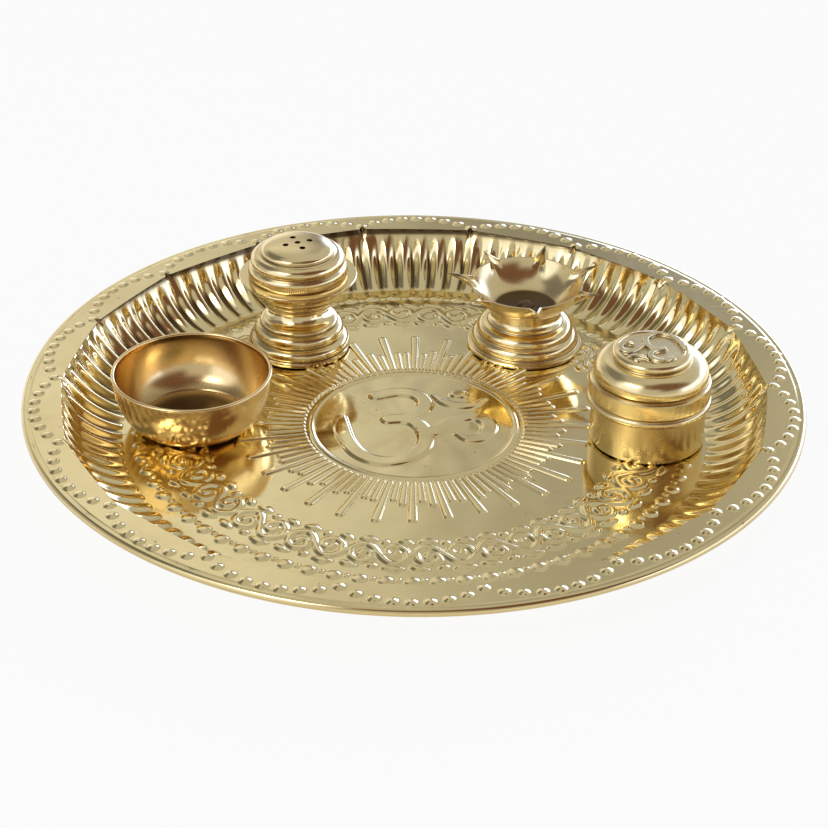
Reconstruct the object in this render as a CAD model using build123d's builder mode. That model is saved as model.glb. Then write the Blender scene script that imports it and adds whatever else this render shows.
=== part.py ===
from build123d import *
from math import asin, atan2, cos, degrees, hypot, pi, radians, sin, sqrt
import os

# Brass puja thali with four loose vessels. Millimetres, +Z up.
# The origin is under the middle of the plate, on the table that it stands on.

# Plate: one pressed sheet with a flat floor, a coved fluted wall and a flat beaded rim
PLATE_RADIUS = 152.5
RIM_WIDTH = 15.0
RIM_HEIGHT = 20.4
WALL_WIDTH = 23.0
SHEET = 1.0
LIP_DROP = 2.6
LIP_ROUND = 1.6

# Relief on the floor: rays round a medallion, and a band of leaves and dots
RELIEF = 0.5
MEDALLION_RADIUS = 41.0
MEDALLION_LINE = 1.2
RAY_COUNT = 96
RAY_ANGLE = 2.7
RAY_START = 43.5
LONG_RAY_END = 69.5
SHORT_RAY_END = 59.0
LEAF_COUNT = 36
LEAF_BAND_GAP = 24.0
LEAF_LENGTH = 12.0
LEAF_WIDTH = 4.6
LEAF_TILT = 25.0
DOT_RADIUS = 1.3

# Wall flutes and rim beads
FLUTE_COUNT = 108
FLUTE_ANGLE = 0.9
FLUTE_DEPTH = 0.4
FLUTE_MARGIN = 12.0
LOBE_COUNT = 18
BEADS_PER_LOBE = 8
BEAD_RADIUS = 1.75
BEAD_HEIGHT = 1.1
BEAD_INSET = 4.7
BEAD_SWING = 6.6
BEAD_CURVE = 0.8

# Katori, a small spun bowl
KATORI_ANGLE = 180.0
KATORI_EDGE_GAP = 8.7
KATORI_BASE_RADIUS = 18.5
KATORI_RIM_RADIUS = 31.6
KATORI_HEIGHT = 23.0
KATORI_WALL = 0.9

# Incense holder: turned foot, cup with a drip flange, perforated lift-off cap
INCENSE_ANGLE = 127.36
INCENSE_EDGE_GAP = 12.8
INCENSE_FOOT_RADIUS = 21.4
INCENSE_FOOT_EDGE = 2.2
INCENSE_STEP_RADIUS = 18.4
INCENSE_STEP_HEIGHT = 6.6
INCENSE_STEP_SWELL = 0.9
INCENSE_SHOULDER_RADIUS = 15.2
INCENSE_SHOULDER_HEIGHT = 14.2
INCENSE_SHOULDER_SWELL = 1.5
INCENSE_NECK_RADIUS = 10.4
INCENSE_NECK_HEIGHT = 18.5
INCENSE_NECK_HOLLOW = 0.65
INCENSE_WALL = 1.2
CUP_RADIUS = 20.0
CUP_HEIGHT = 15.0
CUP_SWELL = 3.0
FLANGE_RADIUS = 24.4
FLANGE_THICKNESS = 1.2
CAP_BAND_RADIUS = 20.8
CAP_BAND_HEIGHT = 5.4
CAP_MOULDING_SWELL = 1.5
CAP_DOME_RADIUS = 15.0
CAP_DOME_START = 10.8
CAP_HEIGHT = 14.2
CAP_WALL = 1.1
CAP_SPIGOT = 3.2
CAP_CLEARANCE = 0.15
STICK_HOLE_RADIUS = 1.25
STICK_RING_RADIUS = 5.3
STICK_RING_COUNT = 4
STICK_RING_TURN = 25.0

# Diya, an oil lamp: turned foot and a bowl with pinched wick spouts
DIYA_ANGLE = 55.81
DIYA_EDGE_GAP = 7.5
DIYA_FOOT_RADIUS = 24.4
DIYA_FOOT_EDGE = 1.5
DIYA_STEP_RADIUS = 20.0
DIYA_STEP_HEIGHT = 7.3
DIYA_BRIM_HOLLOW = 0.58
DIYA_SHOULDER_RADIUS = 16.2
DIYA_SHOULDER_HEIGHT = 11.5
DIYA_SHOULDER_SWELL = 1.05
DIYA_NECK_RADIUS = 13.3
DIYA_NECK_HEIGHT = 16.8
DIYA_NECK_HOLLOW = 0.63
DIYA_WALL = 1.0
BOWL_RADIUS = 24.4
BOWL_DEPTH = 11.5
BOWL_SWELL = 2.4
SPOUT_COUNT = 7
SPOUT_TURN = 19.0
SPOUT_REACH = 8.6
SPOUT_RISE = 1.8
SPOUT_ROOT = 7.0
SPOUT_ROOT_RADIUS = 4.4
SPOUT_TIP_RADIUS = 1.4

# Kumkum box: cup with a stop bead, and a domed lid that slips over its neck
BOX_ANGLE = -4.47
BOX_EDGE_GAP = 0.2
BOX_RADIUS = 22.4
BOX_WALL = 1.2
BOX_SEAT_HEIGHT = 20.2
BOX_NECK = 5.5
STOP_BEAD_REACH = 1.9
STOP_BEAD_HEIGHT = 3.6
STOP_SEAT_WIDTH = 0.9
LID_CLEARANCE = 0.2
LID_WALL = 1.1
LID_BAND_HEIGHT = 9.0
LID_DOME_HEIGHT = 6.9
LID_DOME_SWELL = 1.9
LID_STEP = 1.2
LID_GROOVE_RADIUS = 15.6
LID_BUTTON_RADIUS = 13.6
LID_BUTTON_HEIGHT = 3.6
LID_BUTTON_SWELL = 1.04

# Rivets that hold each raised vessel to its foot
RIVET_RADIUS = 2.0
RIVET_CLEARANCE = 0.05
RIVET_HEAD_RADIUS = 3.6
RIVET_HEAD_HEIGHT = 1.4

# Worked-out values
STAND = SHEET + RELIEF
FLOOR_RADIUS = PLATE_RADIUS - RIM_WIDTH - WALL_WIDTH
LEAF_BAND_RADIUS = FLOOR_RADIUS - LEAF_BAND_GAP
COVE_RISE = RIM_HEIGHT - SHEET
COVE_RADIUS = (WALL_WIDTH**2 + COVE_RISE**2) / (2 * COVE_RISE)
COVE_CENTRE_Z = SHEET + COVE_RADIUS


def section_plane(angle=0.0, distance=0.0, height=0.0):
    """A vertical plane through a vessel's axis: local x is the radius, local y is the height."""
    x = distance * cos(radians(angle))
    y = distance * sin(radians(angle))
    return Plane(origin=(x, y, height), x_dir=(1, 0, 0), z_dir=(0, -1, 0))


def turning_axis(plane):
    """The vertical axis that a section on this plane is turned about."""
    return Axis(plane.origin, (0, 0, 1))


# Thali plate
cove_top_angle = degrees(asin((RIM_HEIGHT - COVE_CENTRE_Z) / COVE_RADIUS))
outer_cove_radius = COVE_RADIUS + SHEET
rim_under = RIM_HEIGHT - SHEET
outer_cove_top = FLOOR_RADIUS + sqrt(outer_cove_radius**2 - (rim_under - COVE_CENTRE_Z) ** 2)
outer_top_angle = degrees(asin((rim_under - COVE_CENTRE_Z) / outer_cove_radius))

with BuildPart() as flute_groove:
    with BuildSketch(section_plane()) as groove_section:
        with BuildLine():
            groove_margin = degrees(FLUTE_MARGIN / COVE_RADIUS) / 2
            groove_start = -90 + groove_margin
            groove_size = cove_top_angle - groove_start - groove_margin
            groove_centre = (FLOOR_RADIUS, COVE_CENTRE_Z)
            deep = CenterArc(groove_centre, COVE_RADIUS + FLUTE_DEPTH, groove_start, groove_size)
            clear = CenterArc(groove_centre, COVE_RADIUS - FLUTE_DEPTH, groove_start, groove_size)
            Line(deep @ 0, clear @ 0)
            Line(deep @ 1, clear @ 1)
        make_face()
    revolve(axis=Axis.Z, revolution_arc=FLUTE_ANGLE)

with BuildPart() as rim_bead:
    with BuildSketch(section_plane(height=RIM_HEIGHT)) as bead_section:
        with BuildLine():
            dome_radius = (BEAD_RADIUS**2 + BEAD_HEIGHT**2) / (2 * BEAD_HEIGHT)
            crown = RadiusArc((0, BEAD_HEIGHT), (BEAD_RADIUS, 0), dome_radius)
            Polyline(crown @ 1, (BEAD_RADIUS, -SHEET / 2), (0, -SHEET / 2), crown @ 0)
        make_face()
    revolve(axis=Axis.Z)

with BuildSketch() as ray_long:
    with BuildLine():
        half = radians(RAY_ANGLE / 2)
        Polyline(
            (RAY_START, -RAY_START * half),
            (LONG_RAY_END, -LONG_RAY_END * half),
            (LONG_RAY_END, LONG_RAY_END * half),
            (RAY_START, RAY_START * half),
            close=True,
        )
    make_face()

with BuildSketch() as ray_short:
    with BuildLine():
        Polyline(
            (RAY_START, -RAY_START * half),
            (SHORT_RAY_END, -SHORT_RAY_END * half),
            (SHORT_RAY_END, SHORT_RAY_END * half),
            (RAY_START, RAY_START * half),
            close=True,
        )
    make_face()

with BuildSketch() as leaf:
    with BuildLine():
        tip = (LEAF_LENGTH / 2, 0)
        stem = (-LEAF_LENGTH / 2, 0)
        ThreePointArc(stem, (0, LEAF_WIDTH / 2), tip)
        ThreePointArc(tip, (0, -LEAF_WIDTH / 2), stem)
    make_face()

bead_places = []
for bead in range(LOBE_COUNT * BEADS_PER_LOBE):
    bead_turn = 2 * pi * bead / (LOBE_COUNT * BEADS_PER_LOBE)
    along_lobe = (bead % BEADS_PER_LOBE) / BEADS_PER_LOBE
    bead_ring = PLATE_RADIUS - BEAD_INSET - BEAD_SWING * (1 - sin(pi * along_lobe) ** BEAD_CURVE)
    bead_places.append((bead_ring * cos(bead_turn), bead_ring * sin(bead_turn), 0))

with BuildPart() as thali_plate:
    with BuildSketch(section_plane()) as plate_section:
        with BuildLine():
            cove = CenterArc((FLOOR_RADIUS, COVE_CENTRE_Z), COVE_RADIUS, -90, cove_top_angle + 90)
            lip_outside = Polyline(
                (PLATE_RADIUS, RIM_HEIGHT - LIP_ROUND),
                (PLATE_RADIUS, RIM_HEIGHT - LIP_DROP),
                (PLATE_RADIUS - SHEET, RIM_HEIGHT - LIP_DROP),
                (PLATE_RADIUS - SHEET, RIM_HEIGHT - LIP_ROUND),
            )
            rim_top = Line(cove @ 1, (PLATE_RADIUS - LIP_ROUND, RIM_HEIGHT))
            RadiusArc(rim_top @ 1, lip_outside @ 0, LIP_ROUND)
            rim_bottom = Line((PLATE_RADIUS - LIP_ROUND, rim_under), (outer_cove_top, rim_under))
            RadiusArc(lip_outside @ 1, rim_bottom @ 0, SHEET - LIP_ROUND)
            outer_cove = CenterArc(
                (FLOOR_RADIUS, COVE_CENTRE_Z), outer_cove_radius, -90, outer_top_angle + 90
            )
            Polyline(outer_cove @ 0, (0, 0), (0, SHEET), cove @ 0)
        make_face()
    revolve(axis=Axis.Z)
    with BuildSketch(Plane.XY.offset(SHEET)) as floor_relief:
        Circle(MEDALLION_RADIUS + MEDALLION_LINE / 2)
        Circle(MEDALLION_RADIUS - MEDALLION_LINE / 2, mode=Mode.SUBTRACT)
        with PolarLocations(0, RAY_COUNT // 3):
            add(ray_long.sketch)
        with PolarLocations(0, RAY_COUNT // 3, start_angle=360 / RAY_COUNT):
            add(ray_short.sketch)
        with PolarLocations(0, RAY_COUNT // 3, start_angle=-360 / RAY_COUNT):
            add(ray_short.sketch)
        with PolarLocations(LEAF_BAND_RADIUS, LEAF_COUNT):
            add(leaf.sketch, rotation=LEAF_TILT)
        with PolarLocations(LEAF_BAND_RADIUS, LEAF_COUNT, start_angle=180 / LEAF_COUNT):
            Circle(DOT_RADIUS)
    extrude(amount=RELIEF)
    with PolarLocations(0, FLUTE_COUNT):
        add(flute_groove.part, mode=Mode.SUBTRACT)
    with Locations(*bead_places):
        add(rim_bead.part)
thali_plate.part.label = "thali_plate"

# Katori bowl
katori_reach = FLOOR_RADIUS - KATORI_EDGE_GAP - KATORI_BASE_RADIUS
katori_plane = section_plane(KATORI_ANGLE, katori_reach, STAND)
katori_swell = KATORI_RIM_RADIUS - KATORI_BASE_RADIUS

with BuildPart() as katori_bowl:
    with BuildSketch(katori_plane) as katori_section:
        with BuildLine():
            belly = (KATORI_BASE_RADIUS, KATORI_HEIGHT)
            outside = EllipticalCenterArc(belly, katori_swell, KATORI_HEIGHT, start_angle=270, arc_size=90)
            inside = EllipticalCenterArc(
                belly, katori_swell - KATORI_WALL, KATORI_HEIGHT - KATORI_WALL, start_angle=270, arc_size=90
            )
            Line(outside @ 1, inside @ 1)
            Polyline(inside @ 0, (0, KATORI_WALL), (0, 0), outside @ 0)
        make_face()
    revolve(axis=turning_axis(katori_plane))
    lip_edges = katori_bowl.edges().group_by(Axis.Z)[-1]
    fillet(lip_edges, KATORI_WALL / 3)
katori_bowl.part.label = "katori_bowl"

# Incense holder's foot
incense_reach = FLOOR_RADIUS - INCENSE_EDGE_GAP - INCENSE_FOOT_RADIUS
incense_plane = section_plane(INCENSE_ANGLE, incense_reach, STAND)
rivet_hole = RIVET_RADIUS + RIVET_CLEARANCE

with BuildPart() as incense_foot:
    with BuildSketch(incense_plane) as incense_foot_section:
        with BuildLine():
            step = (INCENSE_STEP_RADIUS, INCENSE_STEP_HEIGHT)
            shoulder = (INCENSE_SHOULDER_RADIUS, INCENSE_SHOULDER_HEIGHT)
            neck = (INCENSE_NECK_RADIUS, INCENSE_NECK_HEIGHT)
            foot_edge = Line((INCENSE_FOOT_RADIUS, 0), (INCENSE_FOOT_RADIUS, INCENSE_FOOT_EDGE))
            SagittaArc(foot_edge @ 1, step, -INCENSE_STEP_SWELL)
            SagittaArc(step, shoulder, -INCENSE_SHOULDER_SWELL)
            SagittaArc(shoulder, neck, INCENSE_NECK_HOLLOW)
            Polyline(
                neck,
                (rivet_hole, INCENSE_NECK_HEIGHT),
                (rivet_hole, INCENSE_NECK_HEIGHT - INCENSE_WALL),
                (INCENSE_NECK_RADIUS - INCENSE_WALL, INCENSE_NECK_HEIGHT - INCENSE_WALL),
                (INCENSE_SHOULDER_RADIUS - INCENSE_WALL, INCENSE_SHOULDER_HEIGHT - INCENSE_WALL),
                (INCENSE_STEP_RADIUS - INCENSE_WALL, INCENSE_STEP_HEIGHT),
                (INCENSE_FOOT_RADIUS - INCENSE_WALL, 0),
                foot_edge @ 0,
            )
        make_face()
    revolve(axis=turning_axis(incense_plane))
incense_foot.part.label = "incense_foot"

# Incense holder's cup, with the drip flange that the cap sits on
cup_plane = section_plane(INCENSE_ANGLE, incense_reach, STAND + INCENSE_NECK_HEIGHT)
cup_mouth = CUP_RADIUS - INCENSE_WALL

with BuildPart() as incense_cup:
    with BuildSketch(cup_plane) as cup_section:
        with BuildLine():
            collar_foot = CUP_HEIGHT - CAP_SPIGOT - CAP_CLEARANCE
            flange_under = (CUP_RADIUS, CUP_HEIGHT - FLANGE_THICKNESS)
            cup_outside = SagittaArc((INCENSE_NECK_RADIUS, 0), (CUP_RADIUS, collar_foot), -CUP_SWELL)
            cup_inside = SagittaArc(
                (cup_mouth, collar_foot),
                (INCENSE_NECK_RADIUS - INCENSE_WALL, INCENSE_WALL),
                CUP_SWELL,
            )
            Polyline(
                cup_outside @ 1,
                flange_under,
                (FLANGE_RADIUS, CUP_HEIGHT - FLANGE_THICKNESS),
                (FLANGE_RADIUS, CUP_HEIGHT),
                (cup_mouth, CUP_HEIGHT),
                cup_inside @ 0,
            )
            Polyline(
                cup_inside @ 1,
                (rivet_hole, INCENSE_WALL),
                (rivet_hole, 0),
                (INCENSE_NECK_RADIUS, 0),
            )
        make_face()
    revolve(axis=turning_axis(cup_plane))
incense_cup.part.label = "incense_cup"


def riveted(plane, upper_wall, lower_wall):
    """A rivet through two stacked floors that meet at the plane's height, with a head on each side."""
    with BuildPart() as rivet:
        with BuildSketch(plane):
            with BuildLine():
                head_radius = (RIVET_HEAD_RADIUS**2 + RIVET_HEAD_HEIGHT**2) / (2 * RIVET_HEAD_HEIGHT)
                top = RadiusArc(
                    (0, upper_wall + RIVET_HEAD_HEIGHT), (RIVET_HEAD_RADIUS, upper_wall), head_radius
                )
                bottom = RadiusArc(
                    (RIVET_HEAD_RADIUS, -lower_wall), (0, -lower_wall - RIVET_HEAD_HEIGHT), head_radius
                )
                Polyline(
                    top @ 1,
                    (RIVET_RADIUS, upper_wall),
                    (RIVET_RADIUS, -lower_wall),
                    bottom @ 0,
                )
                Line(bottom @ 1, top @ 0)
            make_face()
        revolve(axis=turning_axis(plane))
    return rivet.part


incense_rivet = riveted(cup_plane, INCENSE_WALL, INCENSE_WALL)
incense_rivet.label = "incense_rivet"

# Perforated cap: its spigot drops into the cup's mouth, its band rests on the flange
cap_plane = section_plane(INCENSE_ANGLE, incense_reach, STAND + INCENSE_NECK_HEIGHT + CUP_HEIGHT)
spigot_radius = cup_mouth - CAP_CLEARANCE

with BuildPart() as incense_cap:
    with BuildSketch(cap_plane) as cap_section:
        with BuildLine():
            dome_foot = (CAP_DOME_RADIUS, CAP_DOME_START)
            dome_foot_inside = (CAP_DOME_RADIUS - CAP_WALL, CAP_DOME_START - CAP_WALL)
            band_top = (CAP_BAND_RADIUS, CAP_BAND_HEIGHT)
            spigot_inside = spigot_radius - CAP_WALL
            dome_rise = CAP_HEIGHT - CAP_DOME_START
            dome_curve = (CAP_DOME_RADIUS**2 + dome_rise**2) / (2 * dome_rise)
            moulding = SagittaArc(band_top, dome_foot, -CAP_MOULDING_SWELL)
            dome = RadiusArc((0, CAP_HEIGHT), dome_foot, dome_curve)
            inner_rise = CAP_HEIGHT - CAP_WALL - dome_foot_inside[1]
            inner_curve = (dome_foot_inside[0] ** 2 + inner_rise**2) / (2 * inner_rise)
            inner_dome = RadiusArc((0, CAP_HEIGHT - CAP_WALL), dome_foot_inside, inner_curve)
            Line(dome @ 0, inner_dome @ 0)
            Polyline(
                inner_dome @ 1,
                (spigot_inside, CAP_BAND_HEIGHT),
                (spigot_inside, -CAP_SPIGOT),
                (spigot_radius, -CAP_SPIGOT),
                (spigot_radius, 0),
                (CAP_BAND_RADIUS, 0),
                band_top,
            )
        make_face()
    revolve(axis=turning_axis(cap_plane))
    with BuildSketch(Plane(cap_plane.origin)) as stick_holes:
        Circle(STICK_HOLE_RADIUS)
        with PolarLocations(STICK_RING_RADIUS, STICK_RING_COUNT, start_angle=STICK_RING_TURN):
            Circle(STICK_HOLE_RADIUS)
    extrude(amount=CAP_HEIGHT + CAP_WALL, mode=Mode.SUBTRACT)
incense_cap.part.label = "incense_cap"

# Diya's foot
diya_reach = FLOOR_RADIUS - DIYA_EDGE_GAP - DIYA_FOOT_RADIUS
diya_plane = section_plane(DIYA_ANGLE, diya_reach, STAND)

with BuildPart() as diya_foot:
    with BuildSketch(diya_plane) as diya_foot_section:
        with BuildLine():
            diya_step = (DIYA_STEP_RADIUS, DIYA_STEP_HEIGHT)
            diya_shoulder = (DIYA_SHOULDER_RADIUS, DIYA_SHOULDER_HEIGHT)
            diya_neck = (DIYA_NECK_RADIUS, DIYA_NECK_HEIGHT)
            diya_edge = Line((DIYA_FOOT_RADIUS, 0), (DIYA_FOOT_RADIUS, DIYA_FOOT_EDGE))
            SagittaArc(diya_edge @ 1, diya_step, DIYA_BRIM_HOLLOW)
            SagittaArc(diya_step, diya_shoulder, -DIYA_SHOULDER_SWELL)
            SagittaArc(diya_shoulder, diya_neck, DIYA_NECK_HOLLOW)
            Polyline(
                diya_neck,
                (rivet_hole, DIYA_NECK_HEIGHT),
                (rivet_hole, DIYA_NECK_HEIGHT - DIYA_WALL),
                (DIYA_NECK_RADIUS - DIYA_WALL, DIYA_NECK_HEIGHT - DIYA_WALL),
                (DIYA_SHOULDER_RADIUS - 2 * DIYA_WALL, DIYA_SHOULDER_HEIGHT - DIYA_WALL),
                (DIYA_STEP_RADIUS - 2 * DIYA_WALL, DIYA_STEP_HEIGHT - DIYA_WALL),
                (DIYA_FOOT_RADIUS - 2 * DIYA_WALL, 0),
                diya_edge @ 0,
            )
        make_face()
    revolve(axis=turning_axis(diya_plane))
diya_foot.part.label = "diya_foot"

# Diya's bowl: a round bowl with pinched spouts that rise a little outwards
bowl_plane = section_plane(DIYA_ANGLE, diya_reach, STAND + DIYA_NECK_HEIGHT)
spout_tilt = atan2(SPOUT_RISE, SPOUT_REACH)
spout_length = hypot(SPOUT_ROOT + SPOUT_REACH, SPOUT_RISE * (SPOUT_ROOT + SPOUT_REACH) / SPOUT_REACH)
spout_planes = []
for spout in range(SPOUT_COUNT):
    spout_turn = radians(SPOUT_TURN + 360 * spout / SPOUT_COUNT)
    root = BOWL_RADIUS - SPOUT_ROOT
    root_point = Vector(
        bowl_plane.origin.X + root * cos(spout_turn),
        bowl_plane.origin.Y + root * sin(spout_turn),
        bowl_plane.origin.Z + BOWL_DEPTH - SPOUT_RISE * SPOUT_ROOT / SPOUT_REACH,
    )
    outwards = (
        cos(spout_turn) * cos(spout_tilt),
        sin(spout_turn) * cos(spout_tilt),
        sin(spout_tilt),
    )
    spout_planes.append(Plane(origin=root_point, z_dir=outwards))

with BuildPart() as diya_bowl:
    with BuildSketch(bowl_plane) as bowl_outside:
        with BuildLine():
            wall_line = SagittaArc((DIYA_NECK_RADIUS, 0), (BOWL_RADIUS, BOWL_DEPTH), -BOWL_SWELL)
            Polyline(wall_line @ 1, (0, BOWL_DEPTH), (0, 0), wall_line @ 0)
        make_face()
    revolve(axis=turning_axis(bowl_plane))
    with Locations(*spout_planes):
        Cone(
            SPOUT_ROOT_RADIUS,
            SPOUT_TIP_RADIUS,
            spout_length,
            align=(Align.CENTER, Align.CENTER, Align.MIN),
        )
    with Locations(*spout_planes):
        Cone(
            SPOUT_ROOT_RADIUS - DIYA_WALL,
            SPOUT_TIP_RADIUS - DIYA_WALL,
            spout_length,
            align=(Align.CENTER, Align.CENTER, Align.MIN),
            mode=Mode.SUBTRACT,
        )
    with BuildSketch(bowl_plane) as bowl_inside:
        with BuildLine():
            inner_line = SagittaArc(
                (DIYA_NECK_RADIUS - DIYA_WALL, DIYA_WALL),
                (BOWL_RADIUS - DIYA_WALL, BOWL_DEPTH),
                -BOWL_SWELL,
            )
            Polyline(inner_line @ 1, (0, BOWL_DEPTH), (0, DIYA_WALL), inner_line @ 0)
        make_face()
    revolve(axis=turning_axis(bowl_plane), mode=Mode.SUBTRACT)
    with BuildSketch(bowl_plane) as above_rim:
        with BuildLine():
            past_tip = BOWL_RADIUS + 2 * SPOUT_REACH
            past_rise = BOWL_DEPTH + 2 * SPOUT_RISE
            headroom = past_rise + SPOUT_ROOT_RADIUS
            Polyline(
                (0, BOWL_DEPTH),
                (BOWL_RADIUS, BOWL_DEPTH),
                (past_tip, past_rise),
                (past_tip, headroom),
                (0, headroom),
                close=True,
            )
        make_face()
    revolve(axis=turning_axis(bowl_plane), mode=Mode.SUBTRACT)
    with BuildSketch(Plane(bowl_plane.origin)):
        Circle(rivet_hole)
    extrude(amount=DIYA_WALL, mode=Mode.SUBTRACT)
diya_bowl.part.label = "diya_bowl"

diya_rivet = riveted(bowl_plane, DIYA_WALL, DIYA_WALL)
diya_rivet.label = "diya_rivet"

# Kumkum box's cup, with the bead that stops the lid
box_reach = FLOOR_RADIUS - BOX_EDGE_GAP - BOX_RADIUS
box_plane = section_plane(BOX_ANGLE, box_reach, STAND)

with BuildPart() as kumkum_base:
    with BuildSketch(box_plane) as base_section:
        with BuildLine():
            bead_foot = (BOX_RADIUS, BOX_SEAT_HEIGHT - STOP_BEAD_HEIGHT)
            bead_seat = (BOX_RADIUS + STOP_SEAT_WIDTH, BOX_SEAT_HEIGHT)
            bead_reach = (BOX_RADIUS + STOP_BEAD_REACH, BOX_SEAT_HEIGHT - STOP_BEAD_HEIGHT / 2)
            ThreePointArc(bead_foot, bead_reach, bead_seat)
            Polyline(
                bead_seat,
                (BOX_RADIUS, BOX_SEAT_HEIGHT),
                (BOX_RADIUS, BOX_SEAT_HEIGHT + BOX_NECK),
                (BOX_RADIUS - BOX_WALL, BOX_SEAT_HEIGHT + BOX_NECK),
                (BOX_RADIUS - BOX_WALL, BOX_WALL),
                (0, BOX_WALL),
                (0, 0),
                (BOX_RADIUS, 0),
                bead_foot,
            )
        make_face()
    revolve(axis=turning_axis(box_plane))
kumkum_base.part.label = "kumkum_base"

# Kumkum box's lid
lid_plane = section_plane(BOX_ANGLE, box_reach, STAND + BOX_SEAT_HEIGHT)
lid_inside = BOX_RADIUS + LID_CLEARANCE
lid_radius = lid_inside + LID_WALL

with BuildPart() as kumkum_lid:
    with BuildSketch(lid_plane) as lid_section:
        with BuildLine():
            dome_start = (lid_radius - LID_STEP, LID_BAND_HEIGHT)
            groove_height = LID_BAND_HEIGHT + LID_DOME_HEIGHT
            groove = (LID_GROOVE_RADIUS, groove_height)
            button_height = groove_height + LID_BUTTON_HEIGHT
            lid_bulge = SagittaArc(dome_start, groove, -LID_DOME_SWELL)
            button_side = SagittaArc(groove, (LID_BUTTON_RADIUS, button_height), -LID_BUTTON_SWELL)
            inner_bulge = SagittaArc(
                (lid_inside - LID_STEP, LID_BAND_HEIGHT),
                (LID_GROOVE_RADIUS - LID_WALL, groove_height - LID_WALL),
                -LID_DOME_SWELL,
            )
            Polyline(
                button_side @ 1,
                (0, button_height),
                (0, button_height - LID_WALL),
                (LID_BUTTON_RADIUS - LID_WALL, button_height - LID_WALL),
                inner_bulge @ 1,
            )
            Polyline(
                inner_bulge @ 0,
                (lid_inside, LID_BAND_HEIGHT - LID_STEP),
                (lid_inside, 0),
                (lid_radius, 0),
                (lid_radius, LID_BAND_HEIGHT),
                lid_bulge @ 0,
            )
        make_face()
    revolve(axis=turning_axis(lid_plane))
kumkum_lid.part.label = "kumkum_lid"

# Each piece goes to its own file, named as its label
os.makedirs("parts", exist_ok=True)
export_step(thali_plate.part, "parts/thali_plate.step")
export_step(katori_bowl.part, "parts/katori_bowl.step")
export_step(incense_foot.part, "parts/incense_foot.step")
export_step(incense_cup.part, "parts/incense_cup.step")
export_step(incense_rivet, "parts/incense_rivet.step")
export_step(incense_cap.part, "parts/incense_cap.step")
export_step(diya_foot.part, "parts/diya_foot.step")
export_step(diya_bowl.part, "parts/diya_bowl.step")
export_step(diya_rivet, "parts/diya_rivet.step")
export_step(kumkum_base.part, "parts/kumkum_base.step")
export_step(kumkum_lid.part, "parts/kumkum_lid.step")
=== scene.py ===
from math import cos, pi, radians, sin

import bpy
import numpy as np
from mathutils import Matrix, Vector


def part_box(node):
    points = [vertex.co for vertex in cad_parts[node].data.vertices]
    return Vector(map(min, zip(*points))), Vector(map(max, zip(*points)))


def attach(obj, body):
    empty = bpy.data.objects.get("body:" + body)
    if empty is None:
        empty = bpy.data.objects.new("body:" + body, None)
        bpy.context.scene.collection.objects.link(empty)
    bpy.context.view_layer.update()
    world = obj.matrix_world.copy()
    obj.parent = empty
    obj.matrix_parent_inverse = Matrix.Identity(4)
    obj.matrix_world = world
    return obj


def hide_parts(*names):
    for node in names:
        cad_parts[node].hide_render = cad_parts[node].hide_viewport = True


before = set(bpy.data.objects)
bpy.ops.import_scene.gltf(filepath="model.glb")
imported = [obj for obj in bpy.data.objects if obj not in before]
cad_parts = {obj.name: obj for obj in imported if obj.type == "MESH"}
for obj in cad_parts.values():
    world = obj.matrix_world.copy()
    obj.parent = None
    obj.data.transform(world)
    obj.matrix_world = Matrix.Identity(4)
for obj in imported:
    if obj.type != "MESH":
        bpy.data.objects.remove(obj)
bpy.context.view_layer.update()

# Medallion: the middle of the plate, one sheet of brass pressed between dies, so that the
# emblem stands up on top and is hollow underneath, then buffed. Here it is a disc of sheet.
# All sizes are written in millimetres and turned to metres when a mesh is made.

METRE = 1000.0
SHEET = 1.0
RELIEF = 0.5
MEDALLION_EDGE = 42.2
MEDALLION_TURNS = 576
EMBLEM_HEIGHT = 0.9
EMBLEM_BEVEL = 1.5
STROKE_HALF_WIDTH = 3.1
BORDER_RING = 40.6
BORDER_HALF_WIDTH = 0.8
BORDER_HEIGHT = 0.5
EDGE_SHADE = 1.2


def extent(node):
    """Lowest and highest corner of a CAD node, in millimetres."""
    low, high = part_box(node)
    return np.array(low) * METRE, np.array(high) * METRE


STAND = extent("katori_bowl")[0][2]
FLOOR_TOP = STAND - RELIEF


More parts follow.
